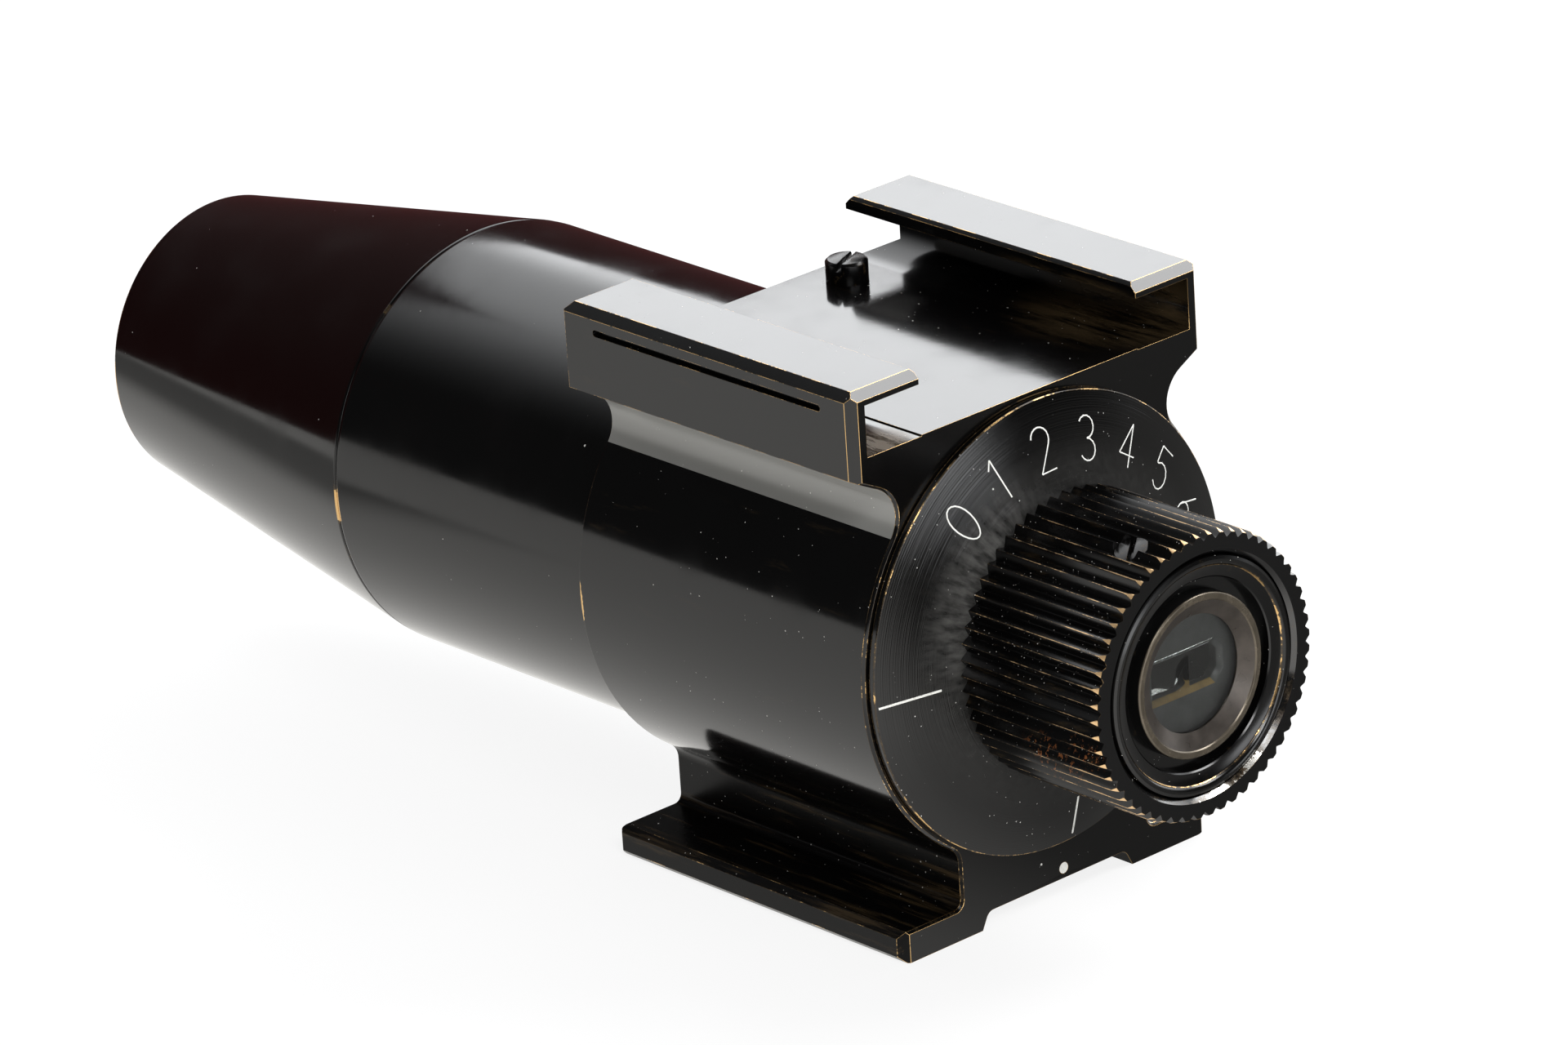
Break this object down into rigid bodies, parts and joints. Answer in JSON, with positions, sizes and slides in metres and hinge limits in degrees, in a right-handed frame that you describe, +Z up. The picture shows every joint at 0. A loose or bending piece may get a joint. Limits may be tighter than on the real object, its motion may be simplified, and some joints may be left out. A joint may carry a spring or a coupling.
{
  "type": "viewfinder scope",
  "caption": "Telescopic camera finder scope with an accessory foot, an accessory shoe on top, a tapered hood and a knurled eyepiece that turns a reversion prism.",
  "frame": {"origin": "centre of the accessory foot's underside, midway along the foot", "axes": "+Y along the optical axis from the eyepiece to the objective, +Z up from the foot to the shoe, +X to the right as seen from the eyepiece"},
  "size_m": [0.021, 0.0642, 0.0263],
  "materials": {
    "lacquered_brass": "glossy black lacquer over brass, worn to brass along the edges",
    "blackened_brass": "brass, chemically blackened, satin",
    "bare_brass": "turned brass",
    "blackened_steel": "blackened steel, polished",
    "bare_steel": "hardened steel, ground",
    "white_paint": "white filling paint in engraved marks",
    "optical_glass": "polished uncoated optical glass"
  },
  "bodies": {
    "root": {"mount_block": "lacquered_brass", "shoe_stop_screws": "blackened_steel", "index_dot": "white_paint", "stop_pin": "bare_steel", "detent_ball": "bare_steel", "detent_spring": "bare_steel", "field_mask": "blackened_brass", "mask_retaining_ring": "blackened_brass", "barrel_tube": "lacquered_brass", "objective_hood": "lacquered_brass", "objective_cell": "blackened_brass", "objective_crown_lens": "optical_glass", "objective_flint_lens": "optical_glass", "objective_retaining_ring": "blackened_brass"},
    "eyepiece": {"index_cap": "lacquered_brass", "index_lines": "white_paint", "knurled_knob": "lacquered_brass", "knob_set_screw": "blackened_steel", "eyepiece_tube": "lacquered_brass", "thrust_washer": "bare_brass", "retaining_nut": "bare_brass", "eye_lens_cell": "blackened_brass", "eye_lens": "optical_glass", "prism_holder": "blackened_brass", "reversion_prism": "optical_glass", "prism_clip": "bare_steel", "prism_retaining_ring": "blackened_brass"}
  },
  "joints": [
    {"name": "eyepiece_turn", "type": "hinge", "parent": "root", "child": "eyepiece", "pos_m": [0, -0.009, 0.0129], "axis": [0, -1, 0], "range_deg": [0, 90]}
  ]
}
